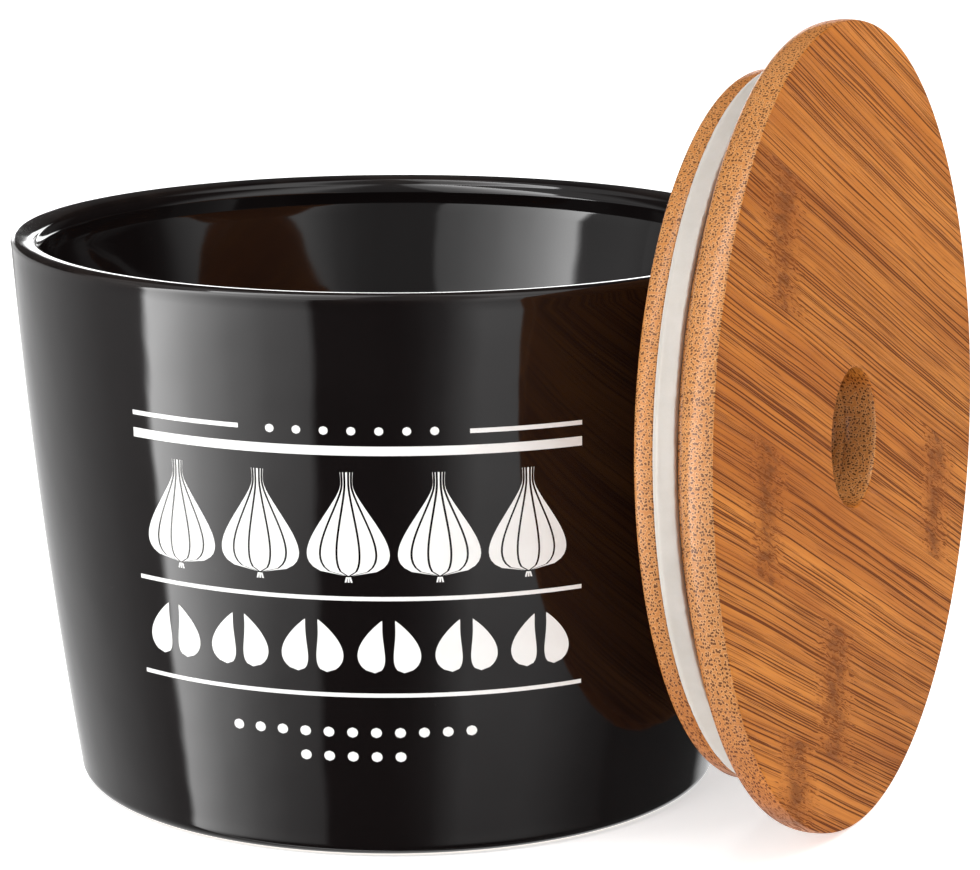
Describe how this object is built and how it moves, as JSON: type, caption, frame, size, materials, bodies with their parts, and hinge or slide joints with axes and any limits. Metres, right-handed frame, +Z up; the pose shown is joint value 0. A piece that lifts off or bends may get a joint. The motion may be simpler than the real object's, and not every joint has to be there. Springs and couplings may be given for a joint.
{
  "type": "garlic keeper",
  "caption": "Round stoneware keeper bowl with a bamboo lid that leans beside it, its plug carrying a silicone seal and a vent hole.",
  "frame": {"origin": "centre of the bowl's flat base, on the table", "axes": "+Z up along the bowl's axis, -Y towards the printed front; the lid leans on the rim near +X"},
  "size_m": [0.1889, 0.1764, 0.1524],
  "materials": {
    "glaze": "gloss near-black glaze",
    "bamboo": "laminated carbonised bamboo, satin oil",
    "silicone": "translucent milky silicone"
  },
  "bodies": {
    "bowl": {"bowl": "glaze"},
    "lid": {"lid_cover_board": "bamboo", "lid_plug_board": "bamboo", "seal_ring": "silicone"}
  },
  "joints": [
    {"name": "lid_lift", "type": "slide", "parent": "bowl", "child": "lid", "axis": [0, 0, 1], "range_m": [0, 0.16]}
  ]
}
